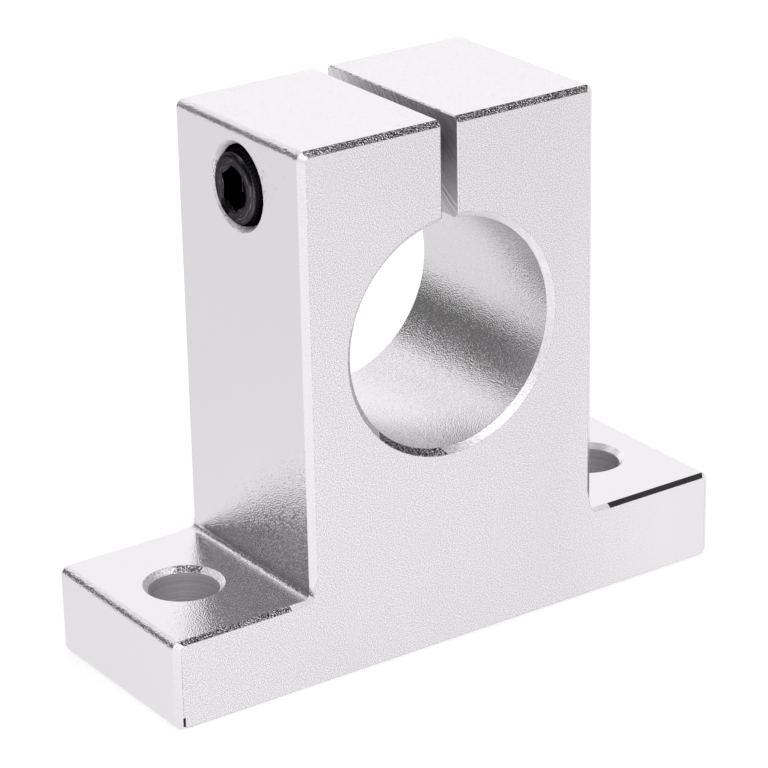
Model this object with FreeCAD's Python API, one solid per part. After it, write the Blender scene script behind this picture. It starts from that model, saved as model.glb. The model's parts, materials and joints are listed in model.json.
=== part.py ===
import FreeCAD, Part
import math
import os

from FreeCAD import Vector

# Shaft support block for a 30 mm round shaft, with the cap screw that clamps the shaft.
# Millimetres. X runs along the base, Y along the shaft towards the back, Z up.
# The origin is the middle of the underside, straight below the shaft's axis.

# Section of the block: a wide base with an upright in the middle
base_length = 84.0
base_height = 12.0
upright_width = 44.0
block_height = 70.0
block_depth = 28.0
corner_radius = 1.1
root_radius = 0.85

# Broken edge round the sawn front and back faces: its depth along Y, and how far the face is
# set in at each side of the section. It dies out towards the roots of the upright.
edge_depth = 0.7
edge_upright = 0.85
edge_top = 0.7
edge_base_top = 0.45
edge_underside = 0.4
edge_root = 0.1
edge_run_out = 3.0

# Shaft bore, open by a little play until it is clamped, and the slit that lets its two ears
# close on the shaft. The slit is sawn a little left of the middle.
shaft_radius = 15.0
shaft_play = 0.05
shaft_height = 42.0
bore_edge = 0.8
slit_x = -0.3
slit_width = 2.4
slit_edge = 0.18

# Mounting holes through the base, for M8 bolts
bolt_spacing = 64.0
bolt_hole_radius = 4.5
bolt_hole_edge = 0.7

# Clamp screw, M6 with a 5 mm hexagon socket. Its hole lies a little in front of the middle.
screw_y = -0.15
screw_z = 62.15
screw_radius = 3.0
screw_length = 30.0
screw_point_edge = 0.9
head_radius = 4.9
head_height = 6.0
head_crown = 0.9
head_stands_out = 0.75
neck_radius = 0.25
socket_across_flats = 5.0
socket_depth = 3.0
socket_rim_radius = 3.05
socket_turn = 55.8

# Seat of the clamp screw: a counterbore and a clearance hole in the left ear, both drilled a
# little above and behind the thread, and a tapped hole through the right ear. The counterbore's
# mouth has a deep bevel, steeper than those of the other holes.
seat_y = -0.05
seat_z = 62.3
counterbore_radius = 5.15
counterbore_edge = 0.62
counterbore_edge_slope = 1.45
clearance_hole_radius = 3.5
clearance_hole_edge = 0.35
tapped_hole_radius = screw_radius + 0.08
tapped_hole_edge = 0.6

# Nick in the front of the base, low down where its left edge band meets the sawn face
nick_x = -41.1
nick_z = 1.25
nick_length = 1.2
nick_width = 0.35
nick_depth = 0.3

# Drill points and socket bottoms are cones of this half angle
drill_half_angle = math.radians(59.0)

# How far a cutter reaches past the face it cuts
reach = 2.0

half_depth = block_depth / 2
bore_radius = shaft_radius + shaft_play
left_face = -upright_width / 2
right_face = upright_width / 2
head_seat = left_face - head_stands_out + head_height


def rounded_wire(corners, y):
    """Closed outline at one Y from (x, z, radius) corners; a radius of 0 is a plain corner."""
    points = [Vector(x, y, z) for x, z, _ in corners]
    edges = []
    spans = []
    for index, (_, _, radius) in enumerate(corners):
        corner = points[index]
        if radius == 0:
            spans.append((corner, corner))
            edges.append(None)
            continue
        to_last = (points[index - 1] - corner).normalize()
        to_next = (points[(index + 1) % len(points)] - corner).normalize()
        half_angle = to_last.getAngle(to_next) / 2
        middle = (to_last + to_next).normalize()
        start = corner + to_last * (radius / math.tan(half_angle))
        end = corner + to_next * (radius / math.tan(half_angle))
        crown = corner + middle * (radius / math.sin(half_angle) - radius)
        spans.append((start, end))
        edges.append(Part.Arc(start, crown, end).toShape())
    outline = []
    for index, arc in enumerate(edges):
        if arc is not None:
            outline.append(arc)
        following = spans[(index + 1) % len(spans)][0]
        outline.append(Part.LineSegment(spans[index][1], following).toShape())
    return Part.Wire(outline)


def section(y, sunk=False):
    """Outline of the block's section at one Y; sunk is the smaller outline of an end face."""
    scale = 1.0 if sunk else 0.0
    end = base_length / 2 - scale * edge_upright
    side = upright_width / 2 - scale * edge_upright
    top = block_height - scale * edge_top
    base_top = base_height - scale * edge_base_top
    underside = scale * edge_underside
    root_x = upright_width / 2 - scale * edge_root
    root_z = base_height - scale * edge_root
    outer = corner_radius - scale * edge_base_top
    root = root_radius + scale * edge_root
    right_half = [
        (end, underside, outer),
        (end, base_top, outer),
        (upright_width / 2 + edge_run_out, base_top, 0),
        (root_x, root_z, root),
        (side, base_height + edge_run_out, 0),
        (side, top, outer),
    ]
    left_half = [(-x, z, radius) for x, z, radius in reversed(right_half)]
    return rounded_wire(right_half + left_half, y)


def body_blank():
    """The sawn length of section, with the edges of both end faces broken."""
    depth = block_depth - 2 * edge_depth
    blank = Part.Face(section(-depth / 2)).extrude(Vector(0, depth, 0))
    for side in (-1, 1):
        edge_band = Part.makeLoft([section(side * depth / 2), section(side * half_depth, True)], True, True)
        blank = blank.fuse(edge_band)
    return blank


def placed(solid, start, direction):
    """Moves a solid made about +Z so that its axis leaves start along direction."""
    turn = FreeCAD.Rotation(Vector(0, 0, 1), direction)
    solid.Placement = FreeCAD.Placement(start, turn)
    return solid


def drilled(mouth, inward, radius, depth, edge, edge_slope=1.0):
    """Cutter for a round hole bored inward from its mouth. The bevel that breaks the mouth's edge
    is edge wide, and edge_slope times as deep."""
    profile = [
        Vector(0, 0, -reach),
        Vector(radius + edge, 0, -reach),
        Vector(radius + edge, 0, 0),
        Vector(radius, 0, edge * edge_slope),
        Vector(radius, 0, depth),
        Vector(0, 0, depth),
    ]
    face = Part.Face(Part.makePolygon(profile + profile[:1]))
    return placed(face.revolve(Vector(0, 0, 0), Vector(0, 0, 1), 360), mouth, inward)


def prism(corners, along):
    """Solid made by sweeping a polygon of corners along a straight line."""
    return Part.Face(Part.makePolygon(corners + corners[:1])).extrude(along)


def slit():
    """Cutter for the slit above the bore, with the edges of its three mouths just taken off."""
    up = Vector(0, 0, block_height - shaft_height)
    corner = Vector(slit_x - slit_width / 2, -half_depth, shaft_height)
    cut = Part.makeBox(slit_width, block_depth, up.z, corner)
    mouth = slit_width / 2 + slit_edge
    for side in (-1, 1):
        face = side * half_depth
        wedge = [
            Vector(slit_x - mouth, face, shaft_height),
            Vector(slit_x + mouth, face, shaft_height),
            Vector(slit_x, face - side * mouth, shaft_height),
        ]
        cut = cut.fuse(prism(wedge, up))
    wedge = [
        Vector(slit_x - mouth, -half_depth, block_height),
        Vector(slit_x + mouth, -half_depth, block_height),
        Vector(slit_x, -half_depth, block_height - mouth),
    ]
    return cut.fuse(prism(wedge, Vector(0, block_depth, 0)))


def screw_seat():
    """Cutters for the clamp screw: counterbore, clearance hole and tapped hole."""
    right = Vector(1, 0, 0)
    mouth = Vector(left_face, seat_y, seat_z)
    seat = Vector(head_seat, seat_y, seat_z)
    far_mouth = Vector(right_face, screw_y, screw_z)
    depth = head_seat - left_face
    counterbore = drilled(
        mouth, right, counterbore_radius, depth, counterbore_edge, counterbore_edge_slope
    )
    return [
        counterbore,
        drilled(seat, right, clearance_hole_radius, -head_seat, clearance_hole_edge),
        drilled(far_mouth, -right, tapped_hole_radius, right_face, tapped_hole_edge),
    ]


def nick():
    """Cutter for the nick: a short upright wedge that points into the block."""
    low = nick_z - nick_length / 2
    wedge = [
        Vector(nick_x - nick_width, -half_depth - nick_depth, low),
        Vector(nick_x + nick_width, -half_depth - nick_depth, low),
        Vector(nick_x, -half_depth + nick_depth, low),
    ]
    return prism(wedge, Vector(0, 0, nick_length))


def support_block():
    """The one-piece block with its bore, slit, mounting holes, screw seat and nick."""
    cutters = [slit(), nick()]
    for side in (-1, 1):
        bore_mouth = Vector(0, side * half_depth, shaft_height)
        cutters.append(drilled(bore_mouth, Vector(0, -side, 0), bore_radius, half_depth, bore_edge))
        for height, up_or_down in ((base_height, -1), (0, 1)):
            mouth = Vector(side * bolt_spacing / 2, 0, height)
            inward = Vector(0, 0, up_or_down)
            cutters.append(drilled(mouth, inward, bolt_hole_radius, base_height / 2, bolt_hole_edge))
    cutters.extend(screw_seat())
    return body_blank().cut(cutters).removeSplitter()


def hexagon_socket():
    """Cutter for the screw's socket: hexagon, bevelled rim and drilled bottom, along +Z."""
    corner = socket_across_flats / 2 / math.cos(math.pi / 6)
    ring = []
    for index in range(6):
        angle = index * math.pi / 3
        ring.append(Vector(corner * math.cos(angle), corner * math.sin(angle), 0))
    hexagon = Part.Face(Part.makePolygon(ring + ring[:1])).extrude(Vector(0, 0, socket_depth))
    flat = socket_across_flats / 2
    rim_depth = (socket_rim_radius - flat) / math.tan(drill_half_angle)
    rim = Part.makeCone(socket_rim_radius, flat, rim_depth)
    bottom = Part.makeCone(flat, 0, flat / math.tan(drill_half_angle), Vector(0, 0, socket_depth))
    return hexagon.fuse([rim, bottom])


def clamp_screw():
    """Socket head cap screw, turned about +Z from the front of its head, then laid along +X."""
    crown_mid = head_crown * (1 - math.sqrt(0.5))
    tip = head_height + screw_length
    front_rim = Vector(head_radius - head_crown, 0, 0)
    side_rim = Vector(head_radius, 0, head_crown)
    crown = Part.Arc(front_rim, Vector(head_radius - crown_mid, 0, crown_mid), side_rim).toShape()
    neck_mid = neck_radius * (1 - math.sqrt(0.5))
    neck_outer = Vector(screw_radius + neck_radius, 0, head_height)
    neck_inner = Vector(screw_radius, 0, head_height + neck_radius)
    neck_point = Vector(screw_radius + neck_mid, 0, head_height + neck_mid)
    neck = Part.Arc(neck_outer, neck_point, neck_inner).toShape()
    head_side = Part.makePolygon([side_rim, Vector(head_radius, 0, head_height), neck_outer])
    shank = Part.makePolygon([
        neck_inner,
        Vector(screw_radius, 0, tip - screw_point_edge),
        Vector(screw_radius - screw_point_edge, 0, tip),
        Vector(0, 0, tip),
        Vector(0, 0, 0),
        front_rim,
    ])
    outline = Part.Wire([crown] + head_side.Edges + [neck] + shank.Edges)
    screw = Part.Face(outline).revolve(Vector(0, 0, 0), Vector(0, 0, 1), 360)
    screw = screw.cut(hexagon_socket())
    screw.rotate(Vector(0, 0, 0), Vector(0, 0, 1), socket_turn)
    front = Vector(left_face - head_stands_out, screw_y, screw_z)
    return placed(screw, front, Vector(1, 0, 0))


os.makedirs("parts", exist_ok=True)
for name, shape in (("support_block", support_block()), ("clamp_screw", clamp_screw())):
    print(name, shape.isValid(), len(shape.Solids), round(shape.Volume, 1), shape.BoundBox)
    shape.exportStep("parts/" + name + ".step")
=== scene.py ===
import json
import math

import bmesh
import bpy
from mathutils import Matrix, Vector


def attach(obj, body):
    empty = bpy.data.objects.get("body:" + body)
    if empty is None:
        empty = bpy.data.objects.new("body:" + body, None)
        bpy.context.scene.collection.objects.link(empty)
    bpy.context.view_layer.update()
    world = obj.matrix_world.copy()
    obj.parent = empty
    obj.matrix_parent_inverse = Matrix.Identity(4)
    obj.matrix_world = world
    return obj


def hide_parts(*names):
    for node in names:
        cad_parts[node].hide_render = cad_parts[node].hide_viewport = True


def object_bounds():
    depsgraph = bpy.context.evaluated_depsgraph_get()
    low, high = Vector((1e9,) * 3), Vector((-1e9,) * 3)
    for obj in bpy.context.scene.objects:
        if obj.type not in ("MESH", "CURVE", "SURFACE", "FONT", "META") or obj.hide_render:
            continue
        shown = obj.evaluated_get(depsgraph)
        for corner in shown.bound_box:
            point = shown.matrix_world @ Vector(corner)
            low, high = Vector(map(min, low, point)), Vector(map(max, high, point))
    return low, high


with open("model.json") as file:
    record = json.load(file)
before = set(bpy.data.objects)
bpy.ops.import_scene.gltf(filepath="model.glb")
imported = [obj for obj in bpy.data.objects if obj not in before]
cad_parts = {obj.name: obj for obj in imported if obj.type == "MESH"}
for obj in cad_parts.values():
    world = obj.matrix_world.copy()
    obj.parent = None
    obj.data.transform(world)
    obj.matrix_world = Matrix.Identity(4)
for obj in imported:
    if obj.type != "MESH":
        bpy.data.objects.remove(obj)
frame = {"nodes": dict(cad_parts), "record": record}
cad_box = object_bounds()
MM = 0.001

# The stage: a sheet of white paper on a table, in the soft even light of a small product studio.
# The paper is nearly white by itself and takes a faint shadow of the block.


def linear(hex_colour):
    """Linear RGBA from an sRGB hex colour such as 'c8c9cb'."""
    channels = [int(hex_colour[i:i + 2], 16) / 255 for i in (0, 2, 4)]
    straight = [c / 12.92 if c <= 0.04045 else ((c + 0.055) / 1.055) ** 2.4 for c in channels]
    return (*straight, 1.0)


def add_node(tree, kind, inputs=None, **settings):
    """Adds a node with its settings; each input is a plain value or the output it is linked to."""
    node = tree.nodes.new(kind)
    for name, value in settings.items():
        setattr(node, name, value)
    for socket, value in (inputs or {}).items():
        if isinstance(value, bpy.types.NodeSocket):
            tree.links.new(value, node.inputs[socket])
        else:
            node.inputs[socket].default_value = value
    return node


def new_tree(material):
    """Empties a material's or world's node tree and returns it."""
    material.use_nodes = True
    material.node_tree.nodes.clear()
    return material.node_tree


def ray_share(tree, camera_part, gloss_part):
    """How much of a stage colour a ray takes: one share for the camera, one for mirrored rays."""
    light_path = add_node(tree, "ShaderNodeLightPath")
    mirrored = add_node(tree, "ShaderNodeMath", {
        0: light_path.outputs["Is Glossy Ray"],
        1: light_path.outputs["Is Transmission Ray"],
    }, operation="ADD", use_clamp=True)
    gloss = add_node(tree, "ShaderNodeMath", {0: mirrored.outputs[0], 1: gloss_part}, operation="MULTIPLY")
    share = add_node(tree, "ShaderNodeMath", {
        0: light_path.outputs["Is Camera Ray"],
        1: camera_part,
        2: gloss.outputs[0],
    }, operation="MULTIPLY_ADD")
    return share.outputs[0]


paper_size = 4.0
lamp_foot = Vector((-110.0, -140.0, 0.0)) * MM
bright_reach = 95.0 * MM
dim_reach = 222.0 * MM

# Uncoated white paper: matt, plain white to the eye, without a mirror image of the block. Where
# the metal mirrors it, its glow holds a painted pool of lamp light: brightest near the lamp's foot
# and a shade greyer further away.
paper = bpy.data.materials.new("white_paper")
tree = new_tree(paper)
place = add_node(tree, "ShaderNodeTexCoord")
from_lamp = add_node(tree, "ShaderNodeVectorMath", {
    0: place.outputs["Object"],
    1: lamp_foot,
}, operation="DISTANCE")
# Painted pool of lamp light in the glow that only the metal's reflections see
painted_lamp_pool = add_node(tree, "ShaderNodeMapRange", {
    "Value": from_lamp.outputs["Value"],
    "From Min": bright_reach,
    "From Max": dim_reach,
    "To Min": 1.15,
    "To Max": 0.93,
})
light_path = add_node(tree, "ShaderNodeLightPath")
paper_level = add_node(tree, "ShaderNodeMath", {
    0: painted_lamp_pool.outputs[0],
    1: light_path.outputs["Is Camera Ray"],
}, operation="MAXIMUM")
lit = add_node(tree, "ShaderNodeBsdfDiffuse", {"Color": linear("fafafa")})
glow = add_node(tree, "ShaderNodeEmission", {"Color": (1, 1, 1, 1), "Strength": paper_level.outputs[0]})
mixed = add_node(tree, "ShaderNodeMixShader", {
    0: ray_share(tree, camera_part=0.75, gloss_part=0.9),
    1: lit.outputs[0],
    2: glow.outputs[0],
})
add_node(tree, "ShaderNodeOutputMaterial", {"Surface": mixed.outputs[0]})
bpy.ops.mesh.primitive_plane_add(size=paper_size)
floor = bpy.context.object
floor.name = "paper_floor"
floor.data.materials.append(paper)

# The studio around it: white walls under a dim ceiling, a dark doorway at the back on the left
# with its door leaf open above it, a dark wall beside it, a dark curtain on the right, and one
# soft lamp in front, high up. The block's light and dark patches are their reflections.


def towards(azimuth, elevation):
    """Unit vector at that azimuth, from +Y towards +X, and elevation, in degrees."""
    a = math.radians(azimuth)
    e = math.radians(elevation)
    return Vector((math.sin(a) * math.cos(e), math.cos(a) * math.cos(e), math.sin(e)))


# Azimuth and elevation of each part's middle, how far it reaches in full and to the end of its
# soft edge, all in degrees, and its brightness. A later part lies over the ones before it.
room_parts = {
    "front_wall": (-160.0, 5.0, 45.0, 75.0, 1.02),
    "ceiling": (0.0, 90.0, 28.0, 46.0, 0.17),
    "doorway": (-40.0, 11.0, 15.0, 32.0, 0.17),
    "door_leaf": (-31.0, 26.5, 7.0, 17.0, 0.16),
    "curtain": (100.0, 36.0, 28.0, 50.0, 0.12),
    "dark_wall": (-90.0, 20.0, 22.0, 34.0, 0.07),
}
wall_level = 1.18
# What a matt surface takes from the room, alike from every side
room_light = 1.15
world = bpy.data.worlds.new("studio_room")
bpy.context.scene.world = world
tree = new_tree(world)
direction = add_node(tree, "ShaderNodeTexCoord").outputs["Generated"]
level = wall_level
for name, (azimuth, elevation, full_reach, edge_reach, part_level) in room_parts.items():
    nearness = add_node(tree, "ShaderNodeVectorMath", {
        0: direction,
        1: towards(azimuth, elevation),
    }, operation="DOT_PRODUCT", label=name)
    within = add_node(tree, "ShaderNodeMapRange", {
        "Value": nearness.outputs["Value"],
        "From Min": math.cos(math.radians(edge_reach)),
        "From Max": math.cos(math.radians(full_reach)),
    }, interpolation_type="SMOOTHSTEP")
    blend = add_node(tree, "ShaderNodeMix", {0: within.outputs[0], 2: level, 3: part_level})
    level = blend.outputs[0]
mirrored_room = ray_share(tree, camera_part=0.0, gloss_part=1.0)
strength = add_node(tree, "ShaderNodeMix", {0: mirrored_room, 2: room_light, 3: level})
sky = add_node(tree, "ShaderNodeBackground", {"Color": (1, 1, 1, 1), "Strength": strength.outputs[0]})
add_node(tree, "ShaderNodeOutputWorld", {"Surface": sky.outputs[0]})

lamp_distance = 0.8
lamp_width = 0.8
lamp_height = 0.5
lamp_level = 1.3
lamp_data = bpy.data.lights.new("soft_lamp", "AREA")
lamp_data.shape = "RECTANGLE"
lamp_data.size = lamp_width
lamp_data.size_y = lamp_height
lamp_data.energy = lamp_level * lamp_width * lamp_height * math.pi
lamp = bpy.data.objects.new("soft_lamp", lamp_data)
to_lamp = towards(azimuth=-178.0, elevation=53.0)
block_middle = Vector((0, 0, (cad_box[0].z + cad_box[1].z) / 2))
lamp_turn = to_lamp.to_track_quat("Z", "Y").to_matrix().to_4x4()
lamp.matrix_world = Matrix.Translation(block_middle + to_lamp * lamp_distance) @ lamp_turn
bpy.context.scene.collection.objects.link(lamp)

# The camera stands in front of the block, to its left and a little above it, with a long lens.
# Its place, direction and lens come from the block's own edges and holes in the photograph.
camera_place = Vector((-221.04, -318.65, 191.77)) * MM
camera_azimuth = math.radians(-34.630)
camera_drop = math.radians(22.532)
camera_roll = math.radians(-1.148)
camera_data = bpy.data.cameras.new("camera")
camera_data.sensor_width = 36.0
camera_data.lens = 153.77
camera_data.clip_start = 0.01
camera_data.clip_end = 20.0
camera = bpy.data.objects.new("camera", camera_data)
turned = Matrix.Rotation(camera_azimuth, 4, "Z") @ Matrix.Rotation(math.pi / 2 - camera_drop, 4, "X")
camera.matrix_world = Matrix.Translation(camera_place) @ turned @ Matrix.Rotation(camera_roll, 4, "Z")
bpy.context.scene.collection.objects.link(camera)
bpy.context.scene.camera = camera

# The support block: one length of drawn aluminium section, sawn off, with its holes machined.
# It is blasted with fine beads and clear anodised all over, so it is pale, satin and grainy, and
# each cut shows through in its own way: sawn, reamed, drilled, milled or just deburred.
block = frame["nodes"]["support_block"]
block.data.materials.clear()
edge_softness_mm = 0.14
saw_mark_mm = 0.4
blade_middle = Vector((0.0, -48.0, 112.0)) * MM
tool_ring_mm = 0.45
cloud_mm = 6.0
cloud_stretch = 0.12
grain_fades_from = 16.0 * MM
grain_fades_to = 34.0 * MM


def soft_edges(tree, radius_mm, flat_cosine, edge_cosine):
    """Normal rounded over the edges, and a mask that is 1 on an edge and 0 away from it."""
    softened = add_node(tree, "ShaderNodeBevel", {"Radius": radius_mm * MM}, samples=6)
    shape = add_node(tree, "ShaderNodeNewGeometry")
    agreement = add_node(tree, "ShaderNodeVectorMath", {
        0: softened.outputs[0],
        1: shape.outputs["Normal"],
    }, operation="DOT_PRODUCT")
    mask = add_node(tree, "ShaderNodeMapRange", {
        "Value": agreement.outputs["Value"],
        "From Min": flat_cosine,
        "From Max": edge_cosine,
    })
    return softened.outputs[0], mask.outputs[0]


def saw_marks(tree, place):
    """Arcs left by a saw blade whose middle was above the block, in front of it."""
    in_plane = add_node(tree, "ShaderNodeVectorMath", {0: place, 1: (0.0, 1.0, 1.0)}, operation="MULTIPLY")
    radius = add_node(tree, "ShaderNodeVectorMath", {
        0: in_plane.outputs[0],
        1: blade_middle,
    }, operation="DISTANCE")
    arcs = add_node(tree, "ShaderNodeTexNoise", {
        "W": radius.outputs["Value"],
        "Scale": 1 / (saw_mark_mm * MM),
        "Detail": 2.0,
    }, noise_dimensions="1D")
    return arcs.outputs["Fac"]


def tool_rings(tree, place, axis):
    """Rings left in the wall of a hole by the tool that went in along that axis."""
    along = add_node(tree, "ShaderNodeSeparateXYZ", {0: place}).outputs[axis]
    rings = add_node(tree, "ShaderNodeTexNoise", {
        "W": along,
        "Scale": 1 / (tool_ring_mm * MM),
        "Detail": 2.0,
    }, noise_dimensions="1D")
    return rings.outputs["Fac"]


def drill_rings(tree, place):
    """Rings left by the drill in the mounting holes."""
    return tool_rings(tree, place, "Z")


def milled_rings(tree, place):
    """Rings left by the end mill at the mouth of the clamp screw's counterbore."""
    return tool_rings(tree, place, "X")


def aluminium(name, tints, roughness, grain, speckle, edge_line, marks=None, metal=1.0):
    """Gives the block a finish of blasted and anodised aluminium, and returns its slot. Grain is
    the size and height of the dimples in mm, speckle how much darker they are than the rest, and
    edge_line how dark an edge is, or below 0 how bright a painted highlight along it is. Marks is a
    tool's pattern and its depth in mm, and metal is the mirrored share, where the rest is chalky white."""
    grain_mm, grain_height_mm = grain
    material = bpy.data.materials.new(name)
    tree = new_tree(material)
    place = add_node(tree, "ShaderNodeTexCoord").outputs["Object"]
    dimples = add_node(tree, "ShaderNodeTexNoise", {
        "Vector": place,
        "Scale": 1 / (grain_mm * MM),
        "Detail": 0.0,
    }).outputs["Fac"]

    # The grain is flatter and paler towards the right end, where the blast was lighter
    from_left = add_node(tree, "ShaderNodeSeparateXYZ", {0: place}).outputs["X"]
    relief = add_node(tree, "ShaderNodeMapRange", {
        "Value": from_left,
        "From Min": grain_fades_from,
        "From Max": grain_fades_to,
        "To Min": 1.0,
        "To Max": 0.35,
    }).outputs[0]
    pit = add_node(tree, "ShaderNodeMapRange", {
        "Value": from_left,
        "From Min": grain_fades_from,
        "From Max": grain_fades_to,
        "To Min": 1.0 - speckle,
        "To Max": 1.0 - speckle * 0.15,
    }).outputs[0]
    softened, edge = soft_edges(tree, edge_softness_mm, flat_cosine=0.999, edge_cosine=0.95)
    bump = add_node(tree, "ShaderNodeBump", {
        "Strength": relief,
        "Distance": grain_height_mm * MM,
        "Height": dimples,
        "Normal": softened,
    }).outputs["Normal"]
    shade = add_node(tree, "ShaderNodeMapRange", {
        "Value": dimples,
        "From Min": 0.40,
        "From Max": 0.60,
        "To Min": pit,
        "To Max": 1.0 + speckle / 5,
    }).outputs[0]

    # Dashes along the edges, broken up by the grain: dark, or painted highlights where edge_line is below 0
    dashes = add_node(tree, "ShaderNodeMapRange", {
        "Value": dimples,
        "From Min": 0.56,
        "From Max": 0.44,
        "To Min": 0.0,
        "To Max": edge_line,
    }).outputs[0]
    line = add_node(tree, "ShaderNodeMath", {0: edge, 1: dashes}, operation="MULTIPLY").outputs[0]
    shade = add_node(tree, "ShaderNodeMath", {0: shade, 1: line}, operation="SUBTRACT").outputs[0]

    # A tool's marks, with painted shade in the grooves and painted highlight on the crests
    if marks:
        pattern_of, depth_mm = marks
        pattern = pattern_of(tree, place)
        bump = add_node(tree, "ShaderNodeBump", {
            "Strength": 1.0,
            "Distance": depth_mm * MM,
            "Height": pattern,
            "Normal": bump,
        }).outputs["Normal"]
        groove_shade_and_highlight = add_node(tree, "ShaderNodeMapRange", {
            "Value": pattern,
            "From Min": 0.35,
            "From Max": 0.65,
            "To Min": 0.86,
            "To Max": 1.1,
        }).outputs[0]
        shade = add_node(tree, "ShaderNodeMath", {0: shade, 1: groove_shade_and_highlight}, operation="MULTIPLY").outputs[0]

    # Faint clouds from the anodising bath, drawn out upwards, in the tint and in the sheen
    drawn_out = add_node(tree, "ShaderNodeVectorMath", {
        0: place,
        1: (1.0, 1.0, cloud_stretch),
    }, operation="MULTIPLY")
    clouds = add_node(tree, "ShaderNodeTexNoise", {
        "Vector": drawn_out.outputs[0],
        "Scale": 1 / (cloud_mm * MM),
        "Detail": 2.0,
    }).outputs["Fac"]
    tint = add_node(tree, "ShaderNodeMix", {
        0: clouds,
        6: linear(tints[0]),
        7: linear(tints[1]),
    }, data_type="RGBA")
    colour = add_node(tree, "ShaderNodeVectorMath", {0: tint.outputs[2], 1: shade}, operation="MULTIPLY")
    sheen = add_node(tree, "ShaderNodeMapRange", {
        "Value": clouds,
        "From Min": 0.3,
        "From Max": 0.7,
        "To Min": roughness - 0.02,
        "To Max": roughness + 0.02,
    })
    surface = add_node(tree, "ShaderNodeBsdfPrincipled", {
        "Base Color": colour.outputs[0],
        "Metallic": metal,
        "Roughness": sheen.outputs[0],
        "Normal": bump,
    })
    add_node(tree, "ShaderNodeOutputMaterial", {"Surface": surface.outputs[0]})
    block.data.materials.append(material)
    return len(block.data.materials) - 1


smooth_tints = ("dddadd", "e0dde0")
bright_tints = ("e3e0e3", "e7e4e7")
inner_tints = ("dddbdd", "e1dee1")
matt_tints = ("eae7ea", "ede9ed")
white_tints = ("faf7fa", "fdfafd")
dull_tints = ("c6c4c6", "cfcdcf")
near_black_tints = ("5f5e5f", "6f6e6f")

# Every finish has its grain at 0.14 to 0.20 mm, coarser than fine beads leave, so that it shows.
# Drawn faces: the smoothest, a satin mirror of the room with soft dimples and painted highlights on the
# edges.
drawn = aluminium(
    "drawn_aluminium", smooth_tints, roughness=0.13, grain=(0.20, 0.048), speckle=0.0, edge_line=-0.19,
)
# The drawn top of the base, where the dimples are flatter and the mirror a little clearer, with painted
# highlights on the edges.
base_top = aluminium(
    "drawn_base_aluminium", smooth_tints, roughness=0.13, grain=(0.20, 0.036), speckle=0.0, edge_line=-0.19,
)
# The section's rounded corners and roots: thin bright and dark lines, broken up by the grain.
rounded = aluminium(
    "rounded_aluminium", smooth_tints, roughness=0.12, grain=(0.19, 0.060), speckle=0.05, edge_line=0.0,
)
# Sawn and blasted faces: an even pale grey with a fine dark speckle and dark broken edges.
sawn = aluminium(
    "sawn_aluminium", matt_tints, roughness=0.26, grain=(0.14, 0.020), speckle=0.26, edge_line=0.90,
)
# Edges that a file has torn: coarse, glittering light and dark.
filed = aluminium(
    "filed_aluminium", smooth_tints, roughness=0.22, grain=(0.17, 0.090), speckle=0.90, edge_line=0.10,
)
# Edges just deburred: a bright, nearly plain line, with a faint painted highlight on its edges.
deburred = aluminium(
    "deburred_aluminium", bright_tints, roughness=0.20, grain=(0.18, 0.030), speckle=0.04, edge_line=-0.04,
)
# Machined bevels of the bore and the counterbore: bright, with a soft grain.
bevelled = aluminium(
    "bevelled_aluminium", bright_tints, roughness=0.26, grain=(0.18, 0.050), speckle=0.10, edge_line=0.10,
    metal=0.7,
)
# Edges scraped by hand: chalky and white, with hardly a reflection.
scraped = aluminium(
    "scraped_aluminium", matt_tints, roughness=0.45, grain=(0.18, 0.030), speckle=0.10, edge_line=0.10,
    metal=0.4,
)
# Countersinks: white, with a rough sparkle left by a chattering cutter.
countersunk = aluminium(
    "countersunk_aluminium", white_tints, roughness=0.20, grain=(0.18, 0.080), speckle=0.40, edge_line=0.10,
    metal=0.5,
)
# The reamed bore: a soft mirror, in which the room shows as light and dark bands.
reamed = aluminium(
    "reamed_aluminium", inner_tints, roughness=0.18, grain=(0.17, 0.042), speckle=0.06, edge_line=0.0,
)
# The slit's sawn walls: grey, with fine slanting arcs.
slit_sawn = aluminium(
    "slit_sawn_aluminium", inner_tints, roughness=0.28, grain=(0.18, 0.03), speckle=0.10, edge_line=0.10,
    marks=(saw_marks, 0.045), metal=0.9,
)
# The mounting holes' drilled walls: dull grey, with faint level rings.
drilled = aluminium(
    "drilled_aluminium", dull_tints, roughness=0.38, grain=(0.20, 0.03), speckle=0.05, edge_line=0.10,
    marks=(drill_rings, 0.035), metal=0.6,
)
# The low side of the counterbore's milled mouth, and the tapped thread: pale and chalky, with
# faint rings.
milled = aluminium(
    "milled_aluminium", white_tints, roughness=0.26, grain=(0.18, 0.04), speckle=0.10, edge_line=0.0,
    marks=(milled_rings, 0.04), metal=0.15,
)
# A dull near black: painted shade on the counterbore's wall round the screw head and in the nick,
# and the same near black on one edge of the base.
near_black = aluminium(
    "near_black_aluminium", near_black_tints, roughness=0.40, grain=(0.20, 0.04), speckle=0.30, edge_line=0.10,
)

half_depth = cad_box[1].y
base_height = 12.0 * MM
upright_side = 22.0 * MM
edge_width = 1.0 * MM
edge_run_out = 3.0 * MM
shaft_axis = Vector((0, 0, 42.0)) * MM
bore_radius = 15.05 * MM
slit_middle = -0.3 * MM
slit_half = 1.2 * MM
bolt_spacing = 64.0 * MM
bolt_hole_radius = 4.5 * MM
bolt_mouth_radius = 5.6 * MM
seat_axis = Vector((0.0, -0.05, 62.3)) * MM
seat_mouth_radius = 5.77 * MM
nick_middle = Vector((-41.1, -13.9, 1.25)) * MM
nick_reach = 0.65 * MM
slack = 0.1 * MM
hair = 0.03 * MM


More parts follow.
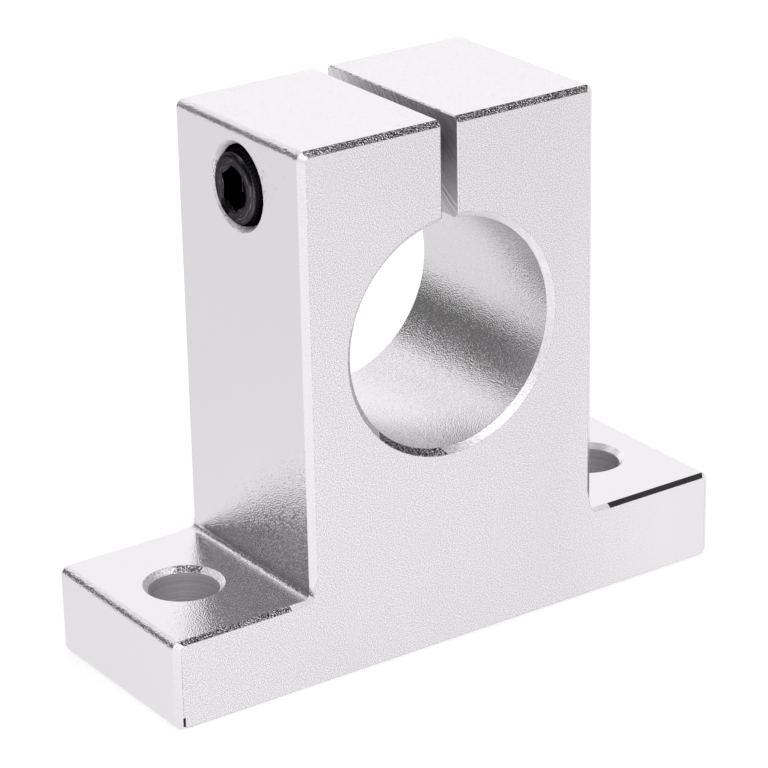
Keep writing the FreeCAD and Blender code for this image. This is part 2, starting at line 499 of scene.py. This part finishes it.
def hole_finish(middle, normal):
    """Finish of a face in the bore, slit, screw seat or a mounting hole, or None outside them."""
    from_bolt = math.hypot(abs(middle.x) - bolt_spacing / 2, middle.y)
    if from_bolt < bolt_mouth_radius and middle.z < base_height + slack:
        if abs(normal.z) < 0.1 and from_bolt < bolt_hole_radius + hair:
            return drilled
        if 0.1 < abs(normal.z) < 0.99:
            # The left hole's countersink is torn at its far right
            torn = middle.x < 0 and normal.x < -0.15 and normal.y < -0.35
            return filed if torn else countersunk
    from_shaft = math.hypot(middle.x - shaft_axis.x, middle.z - shaft_axis.z)
    if abs(normal.y) < 0.1 and from_shaft < bore_radius + hair:
        return reamed
    if abs(middle.x - slit_middle) < slit_half + hair and abs(normal.x) > 0.99:
        return slit_sawn
    from_screw = math.hypot(middle.y - seat_axis.y, middle.z - seat_axis.z)
    if abs(middle.x) < upright_side - hair and from_screw < seat_mouth_radius:
        # The counterbore's wall: painted shade in near black
        if abs(normal.x) < 0.1:
            return near_black
        if normal.z > 0.62:
            return countersunk
        return milled if normal.z < -0.3 else bevelled
    return None


def broken_edge_finish(middle, normal):
    """Finish of a face in the broken edge round the bore or round a sawn face."""
    in_front = middle.y < 0
    from_shaft = math.hypot(middle.x - shaft_axis.x, middle.z - shaft_axis.z)
    if from_shaft < bore_radius + edge_width:
        if normal.z < -0.2:
            return scraped
        return filed if in_front and normal.z > 0.5 and normal.x > 0.06 else bevelled
    if normal.z < 0.3:
        return deburred
    beside_root = abs(middle.x) < upright_side + edge_run_out - hair
    if abs(normal.x) > 0.25 or (beside_root and middle.z < base_height + edge_run_out):
        return scraped
    on_base = middle.z < base_height + slack
    return near_black if on_base and in_front and middle.x > 0 else filed


def finish_of(face):
    """Which finish a face of the block has, from where it is and the way it looks."""
    middle, normal = face.center, face.normal
    in_nick = (middle - nick_middle).length < nick_reach
    # The nick: painted shade in near black
    if in_nick and (abs(normal.x) > 0.8 or abs(normal.z) > 0.9):
        return near_black
    if abs(middle.y) > half_depth - hair:
        return sawn
    in_hole = hole_finish(middle, normal)
    if in_hole is not None:
        return in_hole
    if abs(normal.y) > 0.2 and half_depth - abs(middle.y) < edge_width:
        return broken_edge_finish(middle, normal)
    if 0.1 < abs(normal.x) < 0.995 and normal.z > 0.05:
        return rounded
    if normal.z > 0.99 and middle.z < base_height + slack:
        return base_top
    return drawn


for face in block.data.polygons:
    face.material_index = finish_of(face)
even_normals = block.modifiers.new("even_normals", "WEIGHTED_NORMAL")
even_normals.keep_sharp = True
even_normals.weight = 100

# The clamp screw: a cold-headed M6 socket cap screw with a knurled head and a rolled thread. It is
# steel blackened in hot oxide, with a light film of oil, and the black has gone from its edges,
# where the grey also stands in for glints as painted highlight.


def skin(mesh, rows):
    """Faces between each ring of vertices and the next."""
    for row, following in zip(rows, rows[1:]):
        for i in range(len(row)):
            j = (i + 1) % len(row)
            mesh.faces.new((row[i], row[j], following[j], following[i]))


def fan(mesh, row, tip):
    """Closes a ring of vertices with one vertex in its middle."""
    for i, vertex in enumerate(row):
        mesh.faces.new((vertex, row[(i + 1) % len(row)], tip))


def on_axis(x, angle, radius):
    """Point at that angle round the screw's axis, in millimetres behind the head's front."""
    return screw_front + Vector((x, radius * math.cos(angle), radius * math.sin(angle))) * MM


def add_piece(name, mesh, material, body):
    """Makes an object of the mesh, smooth except at its sharp edges, that rides on a body."""
    bmesh.ops.recalc_face_normals(mesh, faces=mesh.faces)
    for face in mesh.faces:
        face.smooth = True
    for edge in mesh.edges:
        if len(edge.link_faces) == 2 and edge.calc_face_angle() > sharp_angle:
            edge.smooth = False
    data = bpy.data.meshes.new(name)
    mesh.to_mesh(data)
    mesh.free()
    data.materials.append(material)
    piece = bpy.data.objects.new(name, data)
    bpy.context.scene.collection.objects.link(piece)
    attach(piece, body)
    return piece


def thread_ridge(mesh, first_x, last_x, base_radius, crest_radius, base_width, crest_width):
    """One helical ridge between two places on the axis, which rises over its first and last half
    turns from base_radius to crest_radius. Its underside lies in the metal that carries it."""
    thin_end = 0.05
    steps = round((last_x - first_x) / thread_pitch * thread_segments)
    rows = []
    for step in range(steps + 1):
        angle = 2 * math.pi * step / thread_segments
        x = first_x + thread_pitch * step / thread_segments
        from_end = min(step, steps - step)
        rise = min(1.0, 2 * from_end / thread_segments + thin_end)
        top = base_radius + (crest_radius - base_radius) * rise
        rows.append([mesh.verts.new(on_axis(x + offset, angle, radius)) for offset, radius in (
            (-base_width / 2, base_radius),
            (-crest_width / 2, top),
            (crest_width / 2, top),
            (base_width / 2, base_radius),
        )])
    skin(mesh, rows)
    mesh.faces.new(rows[0])
    mesh.faces.new(rows[-1])


screw_front = Vector(frame["record"]["behaviour"]["joints"][0]["pos_m"])

# The screw's sizes, in millimetres. Places along its axis are from the front of its head.
screw_length = 36.0
head_radius = 4.9
head_height = 6.0
head_crown = 1.4
head_foot_edge = 0.25
knurl_top = 4.55
knurls = 54
knurl_depth = 0.14
socket_turn = math.radians(25.8)
socket_half = 2.5
socket_depth = 3.0
socket_rim = 3.05
socket_slope = math.tan(math.radians(59))
neck = 0.25
shank_radius = 3.0
core_radius = 2.42
point_edge = 0.9
thread_start = 8.0
thread_run_out = 0.6
thread_lead_in = 0.2
thread_sink = 0.02
thread_play = 0.03
thread_pitch = 1.0
thread_segments = 36
sharp_angle = math.radians(32)
# The hexagon's foot lies this far outside the rim of its drilled bottom, so that no face between
# them is empty
socket_step = 0.001
columns = 4 * knurls
angles = [socket_turn + 2 * math.pi * i / columns for i in range(columns)]


def hexagon(angle):
    """Distance from the axis to the wall of the hexagon socket."""
    off_flat = (angle - socket_turn) % (math.pi / 3) - math.pi / 6
    return socket_half / math.cos(off_flat)


def knurled(index, radius):
    """That radius of the knurled head in that column: valley, flank, crest or flank."""
    return radius - knurl_depth * (1.0, 0.4, 0.0, 0.4)[index % 4]


def ring(mesh, x, radius):
    """Ring of vertices of one radius at one place on the axis."""
    return [mesh.verts.new(on_axis(x, angle, radius)) for angle in angles]


def knurled_ring(mesh, x, radius):
    """Ring of vertices with the knurl's grooves in it."""
    return [mesh.verts.new(on_axis(x, angle, knurled(i, radius))) for i, angle in enumerate(angles)]


mesh = bmesh.new()
rows = [ring(mesh, socket_depth, socket_half)]
fan(mesh, rows[0], mesh.verts.new(on_axis(socket_depth + socket_half / socket_slope, 0, 0)))
rows.append([mesh.verts.new(on_axis(socket_depth, a, hexagon(a) + socket_step)) for a in angles])
rows.append([
    mesh.verts.new(on_axis((socket_rim - hexagon(a)) / socket_slope, a, hexagon(a))) for a in angles
])
rows.append(ring(mesh, 0.0, socket_rim))
crown_steps = 8
for step in range(crown_steps + 1):
    turn = math.pi / 2 * step / crown_steps
    x = head_crown * (1 - math.cos(turn))
    crown_radius = head_radius - head_crown * (1 - math.sin(turn))
    make_ring = ring if crown_radius < knurl_top else knurled_ring
    rows.append(make_ring(mesh, x, crown_radius))
rows.append(knurled_ring(mesh, head_height - head_foot_edge, head_radius))
rows.append(ring(mesh, head_height, head_radius - knurl_depth * 2))
neck_steps = 3
for step in range(neck_steps + 1):
    turn = math.pi / 2 * step / neck_steps
    x = head_height + neck * (1 - math.cos(turn))
    rows.append(ring(mesh, x, shank_radius + neck * (1 - math.sin(turn))))
rows.append(ring(mesh, thread_start - thread_run_out, shank_radius))
rows.append(ring(mesh, thread_start, core_radius))
rows.append(ring(mesh, screw_length - point_edge + shank_radius - core_radius, core_radius))
rows.append(ring(mesh, screw_length, shank_radius - point_edge))
skin(mesh, rows)
fan(mesh, rows[-1], mesh.verts.new(on_axis(screw_length, 0, 0)))
thread_ridge(
    mesh,
    first_x=thread_start - thread_lead_in,
    last_x=screw_length - point_edge,
    base_radius=core_radius - thread_sink,
    crest_radius=shank_radius - thread_play,
    base_width=0.8,
    crest_width=0.14,
)

# Hot black oxide: nearly black, with an oily grey sheen in fine rings round the axis, which is also
# painted into the colour as grey streaks. It is grey on its worn edges, which also stand in for glints,
# and on two rings of painted highlight on the crown, and painted shade makes it blackest over the
# knurled side and in one patch below the socket.
streak_mm = 0.13
streaks_round = 2.2
blotch_mm = 0.9
edge_wear_and_glint_mm = 0.1
outer_highlight_radius = knurl_top - 0.13
outer_highlight_half = 0.04
inner_highlight_radius = 3.9
inner_highlight_half = 0.09
shade_patch_middle = Vector((0.0, 1.7, -2.6)) * MM
black_oxide = bpy.data.materials.new("black_oxide_steel")
tree = new_tree(black_oxide)
place = add_node(tree, "ShaderNodeTexCoord").outputs["Object"]
from_front = add_node(tree, "ShaderNodeVectorMath", {0: place, 1: screw_front}, operation="SUBTRACT")
split = add_node(tree, "ShaderNodeSeparateXYZ", {0: from_front.outputs[0]})
flat = add_node(tree, "ShaderNodeCombineXYZ", {"Y": split.outputs["Y"], "Z": split.outputs["Z"]})
radius = add_node(tree, "ShaderNodeVectorMath", {0: flat.outputs[0]}, operation="LENGTH").outputs["Value"]
angle = add_node(tree, "ShaderNodeMath", {0: split.outputs["Z"], 1: split.outputs["Y"]}, operation="ARCTAN2")

# Streaks wound round the axis, and blotches
across = add_node(tree, "ShaderNodeMath", {0: radius, 1: 1 / (streak_mm * MM)}, operation="MULTIPLY")
around = add_node(tree, "ShaderNodeMath", {0: angle.outputs[0], 1: streaks_round}, operation="MULTIPLY")
along_axis = add_node(tree, "ShaderNodeMath", {
    0: split.outputs["X"],
    1: 1 / (streak_mm * MM),
}, operation="MULTIPLY")
wound = add_node(tree, "ShaderNodeCombineXYZ", {
    "X": across.outputs[0],
    "Y": around.outputs[0],
    "Z": along_axis.outputs[0],
})
streaks = add_node(tree, "ShaderNodeTexNoise", {
    "Vector": wound.outputs[0],
    "Scale": 1.0,
    "Detail": 2.0,
}).outputs["Fac"]
blotches = add_node(tree, "ShaderNodeTexNoise", {
    "Vector": place,
    "Scale": 1 / (blotch_mm * MM),
    "Detail": 4.0,
}).outputs["Fac"]

# Painted highlights: one thin ring above on the crown, and a wider one in front
softened, edge = soft_edges(tree, edge_wear_and_glint_mm, flat_cosine=0.995, edge_cosine=0.90)
above = add_node(tree, "ShaderNodeMapRange", {
    "Value": split.outputs["Z"],
    "From Min": 3.0 * MM,
    "From Max": 4.2 * MM,
    "To Max": 0.9,
}).outputs[0]
in_front = add_node(tree, "ShaderNodeMapRange", {
    "Value": split.outputs["Y"],
    "From Min": -2.9 * MM,
    "From Max": -3.9 * MM,
    "To Max": 0.75,
}).outputs[0]
outer_highlight_ring = add_node(tree, "ShaderNodeMath", {
    0: radius,
    1: outer_highlight_radius * MM,
    2: outer_highlight_half * MM,
}, operation="COMPARE").outputs[0]
inner_highlight_ring = add_node(tree, "ShaderNodeMath", {
    0: radius,
    1: inner_highlight_radius * MM,
    2: inner_highlight_half * MM,
}, operation="COMPARE").outputs[0]
highlight_ring_above = add_node(tree, "ShaderNodeMath", {0: outer_highlight_ring, 1: above}, operation="MULTIPLY").outputs[0]
highlight_rings = add_node(tree, "ShaderNodeMath", {
    0: inner_highlight_ring,
    1: in_front,
    2: highlight_ring_above,
}, operation="MULTIPLY_ADD").outputs[0]

# Bare steel grey: on the edges as wear and painted glints, and on the painted highlight rings, where
# the streaks are high, and as painted sheen in the streaks lightly elsewhere, but not in the knurl
wear_and_highlight_here = add_node(tree, "ShaderNodeMapRange", {
    "Value": streaks,
    "From Min": 0.45,
    "From Max": 0.65,
    "To Max": 0.8,
}).outputs[0]
painted_sheen_streaks = add_node(tree, "ShaderNodeMapRange", {
    "Value": streaks,
    "From Min": 0.58,
    "From Max": 0.74,
    "To Max": 0.5,
}).outputs[0]
in_knurl = add_node(tree, "ShaderNodeMapRange", {
    "Value": radius,
    "From Min": (knurl_top - 0.08) * MM,
    "From Max": (knurl_top - 0.02) * MM,
}).outputs[0]
highlight_rings_or_edges = add_node(tree, "ShaderNodeMath", {0: edge, 1: highlight_rings}, operation="MAXIMUM")
wear_and_painted_light_anywhere = add_node(tree, "ShaderNodeMath", {
    0: highlight_rings_or_edges.outputs[0],
    1: wear_and_highlight_here,
    2: painted_sheen_streaks,
}, operation="MULTIPLY_ADD", use_clamp=True)
off_knurl = add_node(tree, "ShaderNodeMath", {0: 1.0, 1: in_knurl}, operation="SUBTRACT")
wear_and_painted_light = add_node(tree, "ShaderNodeMath", {
    0: wear_and_painted_light_anywhere.outputs[0],
    1: off_knurl.outputs[0],
}, operation="MULTIPLY")

# Colour: the oxide, painted near black over the knurled side and one patch below the socket as
# painted shade, and bare steel grey for the wear and the painted highlights and sheen
from_shade_patch = add_node(tree, "ShaderNodeVectorMath", {
    0: flat.outputs[0],
    1: shade_patch_middle,
}, operation="DISTANCE")
# A patch of painted shade below the socket, at the hexagon's lower left
shade_patch = add_node(tree, "ShaderNodeMapRange", {
    "Value": from_shade_patch.outputs["Value"],
    "From Min": 1.15 * MM,
    "From Max": 0.9 * MM,
    "To Max": 0.9,
}).outputs[0]
painted_shade_mask = add_node(tree, "ShaderNodeMath", {0: in_knurl, 1: shade_patch}, operation="MAXIMUM")
oxide_tint = add_node(tree, "ShaderNodeMix", {
    0: blotches,
    6: linear("39373a"),
    7: linear("474548"),
}, data_type="RGBA")
oxide_with_painted_shade = add_node(tree, "ShaderNodeMix", {
    0: painted_shade_mask.outputs[0],
    6: oxide_tint.outputs[2],
    7: linear("131214"),
}, data_type="RGBA")
tint = add_node(tree, "ShaderNodeMix", {
    0: wear_and_painted_light.outputs[0],
    6: oxide_with_painted_shade.outputs[2],
    7: linear("a9a7a9"),
}, data_type="RGBA")
oil = add_node(tree, "ShaderNodeMapRange", {
    "Value": blotches,
    "From Min": 0.35,
    "From Max": 0.65,
    "To Min": 0.13,
    "To Max": 0.24,
}).outputs[0]
fine_rings = add_node(tree, "ShaderNodeBump", {
    "Strength": 1.0,
    "Distance": 0.02 * MM,
    "Height": streaks,
    "Normal": softened,
})
uneven_skin = add_node(tree, "ShaderNodeBump", {
    "Strength": 1.0,
    "Distance": 0.04 * MM,
    "Height": blotches,
    "Normal": fine_rings.outputs[0],
})
oxide = add_node(tree, "ShaderNodeBsdfPrincipled", {
    "Base Color": tint.outputs[2],
    "Metallic": 1.0,
    "Specular Tint": linear("aaaaaa"),
    "Roughness": oil,
    "Normal": uneven_skin.outputs[0],
})
add_node(tree, "ShaderNodeOutputMaterial", {"Surface": oxide.outputs[0]})
screw = add_piece("socket_cap_screw", mesh, black_oxide, "screw")
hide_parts("clamp_screw")
cad_screw = frame["nodes"]["clamp_screw"]
cad_screw.data.materials.clear()
cad_screw.data.materials.append(black_oxide)

# The tapped thread in the right ear, in the part of its hole that the screw's point doesn't reach.
# It is cut with a tap, so it has the block's own metal and its milled finish.
tapped_hole_radius = 3.08
tapped_crest_radius = 2.5
from_point = 0.7
from_mouth = 0.9
ear_face = (upright_side - screw_front.x) / MM
mesh = bmesh.new()
thread_ridge(
    mesh,
    first_x=screw_length + from_point,
    last_x=ear_face - from_mouth,
    base_radius=tapped_hole_radius + 2 * thread_sink,
    crest_radius=tapped_crest_radius,
    base_width=0.85,
    crest_width=0.25,
)
add_piece("tapped_thread", mesh, block.data.materials[milled], "block")

bpy.context.scene.view_settings.view_transform = "Standard"
